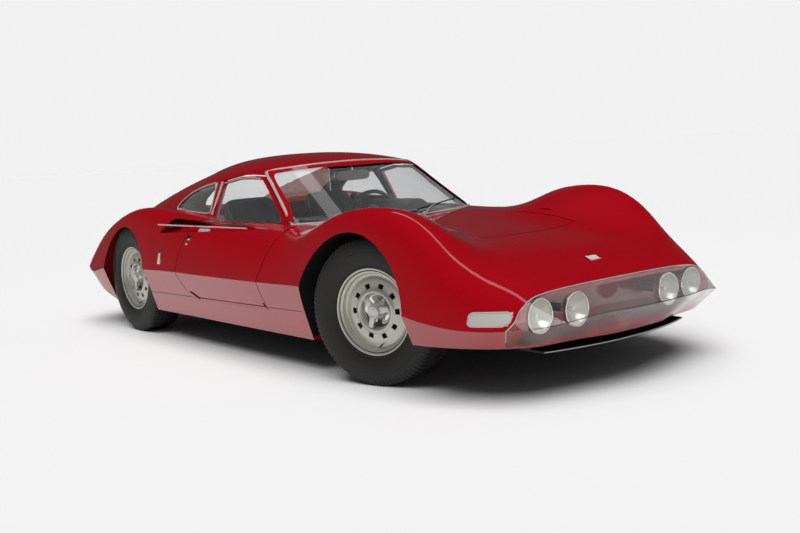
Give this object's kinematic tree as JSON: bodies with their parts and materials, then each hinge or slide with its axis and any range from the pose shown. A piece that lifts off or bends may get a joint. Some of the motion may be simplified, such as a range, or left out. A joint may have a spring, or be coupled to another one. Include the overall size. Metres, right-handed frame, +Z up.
{
  "type": "mid-engined sports coupe",
  "caption": "Low two-seat mid-engined coupe with rounded wings, four lamps behind a clear nose cover, opening doors and lids, steered front wheels and pressed disc wheels",
  "frame": {"origin": "on the ground, below the middle of the car's length and width", "axes": "+X toward the nose, +Y toward the car's left side, +Z up"},
  "size_m": [4.0544, 1.6658, 1.0015],
  "materials": {
    "body_paint": "glossy red paint",
    "black_panel": "satin black",
    "clear_glass": "clear",
    "lamp_glass": "clear",
    "clear_lens": "ribbed clear",
    "red_lens": "translucent red",
    "lamp_silver": "polished",
    "tyre_rubber": "matt black",
    "wheel_metal": "satin silver",
    "running_steel": "dark painted steel",
    "engine_metal": "as cast",
    "seat_leather": "black leather",
    "trim_black": "black grained trim",
    "chrome": "polished"
  },
  "bodies": {
    "car_body": {"floor_and_sills": "body_paint", "front_body": "body_paint", "rear_body": "body_paint", "roof": "body_paint", "windscreen": "clear_glass", "quarter_windows": "clear_glass", "rear_window": "clear_glass", "lamp_cover": "lamp_glass", "headlamps": "lamp_silver", "marker_lamps": "clear_lens", "front_lip": "black_panel", "tail_panel": "black_panel", "tail_lamps": "red_lens", "engine": "engine_metal", "exhaust": "running_steel", "front_suspension": "running_steel", "rear_suspension": "running_steel", "seat_left": "seat_leather", "seat_right": "seat_leather", "dashboard": "trim_black", "steering_column": "trim_black", "gear_lever": "chrome", "mirror": "trim_black"},
    "front_lid_body": {"front_lid": "body_paint"},
    "engine_lid_body": {"engine_lid": "body_paint"},
    "door_right_body": {"door_right": "body_paint", "door_glass_right": "clear_glass"},
    "door_left_body": {"door_left": "body_paint", "door_glass_left": "clear_glass"},
    "steering_wheel_body": {"steering_wheel": "trim_black"},
    "knuckle_right": {"knuckle_front_right": "running_steel"},
    "knuckle_left": {"knuckle_front_left": "running_steel"},
    "wheel_front_right": {"rim_front_right": "wheel_metal", "tyre_front_right": "tyre_rubber"},
    "wheel_front_left": {"rim_front_left": "wheel_metal", "tyre_front_left": "tyre_rubber"},
    "wheel_rear_right": {"rim_rear_right": "wheel_metal", "tyre_rear_right": "tyre_rubber"},
    "wheel_rear_left": {"rim_rear_left": "wheel_metal", "tyre_rear_left": "tyre_rubber"}
  },
  "joints": [
    {"name": "steer_right", "type": "hinge", "parent": "car_body", "child": "knuckle_right", "pos_m": [1.03, -0.622, 0.32], "axis": [0, 0, 1], "range_deg": [-45.3, 10.7]},
    {"name": "steer_left", "type": "hinge", "parent": "car_body", "child": "knuckle_left", "pos_m": [1.03, 0.622, 0.32], "axis": [0, 0, 1], "range_deg": [-45.3, 10.7]},
    {"name": "wheel_front_right_spin", "type": "hinge", "parent": "knuckle_right", "child": "wheel_front_right", "pos_m": [1.03892, -0.65064, 0.32], "axis": [-0.2974, 0.9548, 0], "continuous": true},
    {"name": "wheel_front_left_spin", "type": "hinge", "parent": "knuckle_left", "child": "wheel_front_left", "pos_m": [1.02108, 0.65064, 0.32], "axis": [-0.2974, 0.9548, 0], "continuous": true},
    {"name": "wheel_rear_right_spin", "type": "hinge", "parent": "car_body", "child": "wheel_rear_right", "pos_m": [-1.25, -0.674, 0.32], "axis": [0, 1, 0], "continuous": true},
    {"name": "wheel_rear_left_spin", "type": "hinge", "parent": "car_body", "child": "wheel_rear_left", "pos_m": [-1.25, 0.674, 0.32], "axis": [0, 1, 0], "continuous": true},
    {"name": "door_right_hinge", "type": "hinge", "parent": "car_body", "child": "door_right_body", "pos_m": [0.39, -0.808, 0.409], "axis": [0, 0.2588, 0.9659], "range_deg": [0, 65]},
    {"name": "door_left_hinge", "type": "hinge", "parent": "car_body", "child": "door_left_body", "pos_m": [0.39, 0.808, 0.409], "axis": [0, 0.2588, -0.9659], "range_deg": [0, 65]},
    {"name": "front_lid_hinge", "type": "hinge", "parent": "car_body", "child": "front_lid_body", "pos_m": [1.264, 0, 0.605], "axis": [0, 1, 0], "range_deg": [0, 60]},
    {"name": "engine_lid_hinge", "type": "hinge", "parent": "car_body", "child": "engine_lid_body", "pos_m": [-0.87, 0, 0.72], "axis": [0, 1, 0], "range_deg": [0, 55]},
    {"name": "steering_wheel_turn", "type": "hinge", "parent": "car_body", "child": "steering_wheel_body", "pos_m": [-0.23, 0.25, 0.585], "axis": [-0.9397, 0, 0.342], "range_deg": [-545, 130]}
  ],
  "couplings": [
    {"joint": "steer_left", "follows": "steer_right", "ratio": 1},
    {"joint": "steering_wheel_turn", "follows": "steer_right", "ratio": 12}
  ]
}
